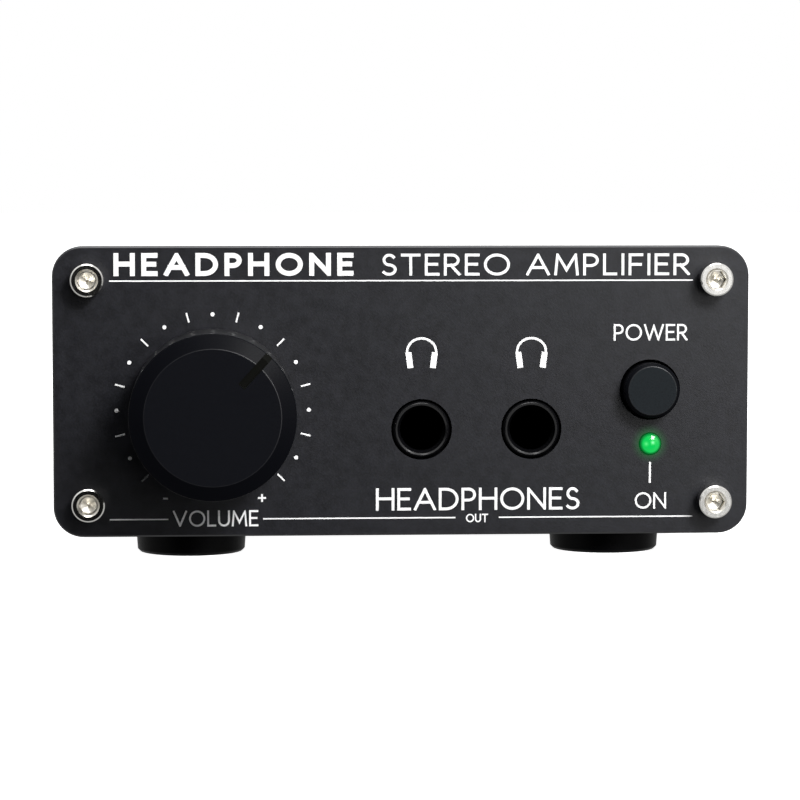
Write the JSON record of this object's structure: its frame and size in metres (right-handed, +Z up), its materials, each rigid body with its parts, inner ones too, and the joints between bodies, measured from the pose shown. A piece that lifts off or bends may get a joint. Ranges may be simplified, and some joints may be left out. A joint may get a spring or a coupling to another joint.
{
  "type": "headphone amplifier",
  "caption": "Compact desktop headphone amplifier: dark anodised case with rubber feet, volume knob, headphone sockets, push power button and indicator lamp.",
  "frame": {"origin": "under the middle of the whole object, on the surface the feet stand on", "axes": "+Z up, front panel faces -Y, +Y runs from the knob to the rear sockets, +X to the viewer's right"},
  "size_m": [0.105, 0.1244, 0.0471],
  "materials": {
    "panel_anodised": "anodised, fine satin",
    "case_anodised": "anodised satin",
    "knob_anodised": "anodised satin",
    "stainless_steel": "turned, bright",
    "nickel": "plated",
    "button_cap": "satin grey",
    "black_gloss_plastic": "moulded gloss",
    "black_matte_plastic": "moulded matte",
    "white_plastic": "moulded",
    "rubber": "satin",
    "green_lens": "diffused lamp lens",
    "board_green": "solder mask",
    "tinned_wire": "tinned",
    "spring_bronze": "plated contact",
    "capacitor_sleeve": "shrink sleeve",
    "film_box": "moulded box",
    "relay_box": "moulded box",
    "resistor_body": "lacquer",
    "shaft_metal": "turned"
  },
  "bodies": {
    "amplifier": {"front_panel": "panel_anodised", "rear_panel": "case_anodised", "case_extrusion": "case_anodised", "front_panel_screws": "stainless_steel", "rear_panel_screws": "stainless_steel", "foot_front_left": "rubber", "foot_front_right": "rubber", "foot_rear_left": "rubber", "foot_rear_right": "rubber", "foot_screws": "stainless_steel", "potentiometer_housing": "nickel", "potentiometer_bushing": "nickel", "potentiometer_washer": "nickel", "potentiometer_nut": "nickel", "potentiometer_pins": "tinned_wire", "headphone_jack_left": "black_gloss_plastic", "headphone_jack_right": "black_gloss_plastic", "jack_contacts_left": "spring_bronze", "jack_contacts_right": "spring_bronze", "power_switch_body": "black_matte_plastic", "switch_board": "board_green", "switch_board_header": "black_matte_plastic", "switch_board_pins": "tinned_wire", "power_led": "green_lens", "led_leads": "tinned_wire", "led_spacer": "black_matte_plastic", "input_socket_block": "black_matte_plastic", "input_shell_left": "nickel", "input_shell_right": "nickel", "input_insulator_left": "white_plastic", "input_insulator_right": "white_plastic", "input_contact_left": "spring_bronze", "input_contact_right": "spring_bronze", "power_inlet_housing": "black_matte_plastic", "power_inlet_pin": "nickel", "circuit_board": "board_green", "heat_sink": "case_anodised", "power_transistors": "black_matte_plastic", "power_transistor_legs": "tinned_wire", "signal_capacitors": "capacitor_sleeve", "supply_capacitors": "capacitor_sleeve", "film_capacitors": "film_box", "op_amp_chips": "black_matte_plastic", "output_relay": "relay_box", "resistors": "resistor_body", "rectifier_diodes": "black_gloss_plastic"},
    "volume": {"volume_knob": "knob_anodised", "knob_set_screw": "stainless_steel", "potentiometer_shaft": "shaft_metal", "potentiometer_wiper": "black_matte_plastic"},
    "power_button": {"power_button_cap": "button_cap", "power_switch_plunger": "white_plastic"}
  },
  "joints": [
    {"name": "volume_turn", "type": "hinge", "parent": "amplifier", "child": "volume", "pos_m": [-0.02856, -0.04625, 0.02248], "axis": [0, 1, 0], "range_deg": [-177.5, 92.5]},
    {"name": "power_press", "type": "slide", "parent": "amplifier", "child": "power_button", "axis": [0, 1, 0], "range_m": [-0.0025, 0.0008]}
  ]
}
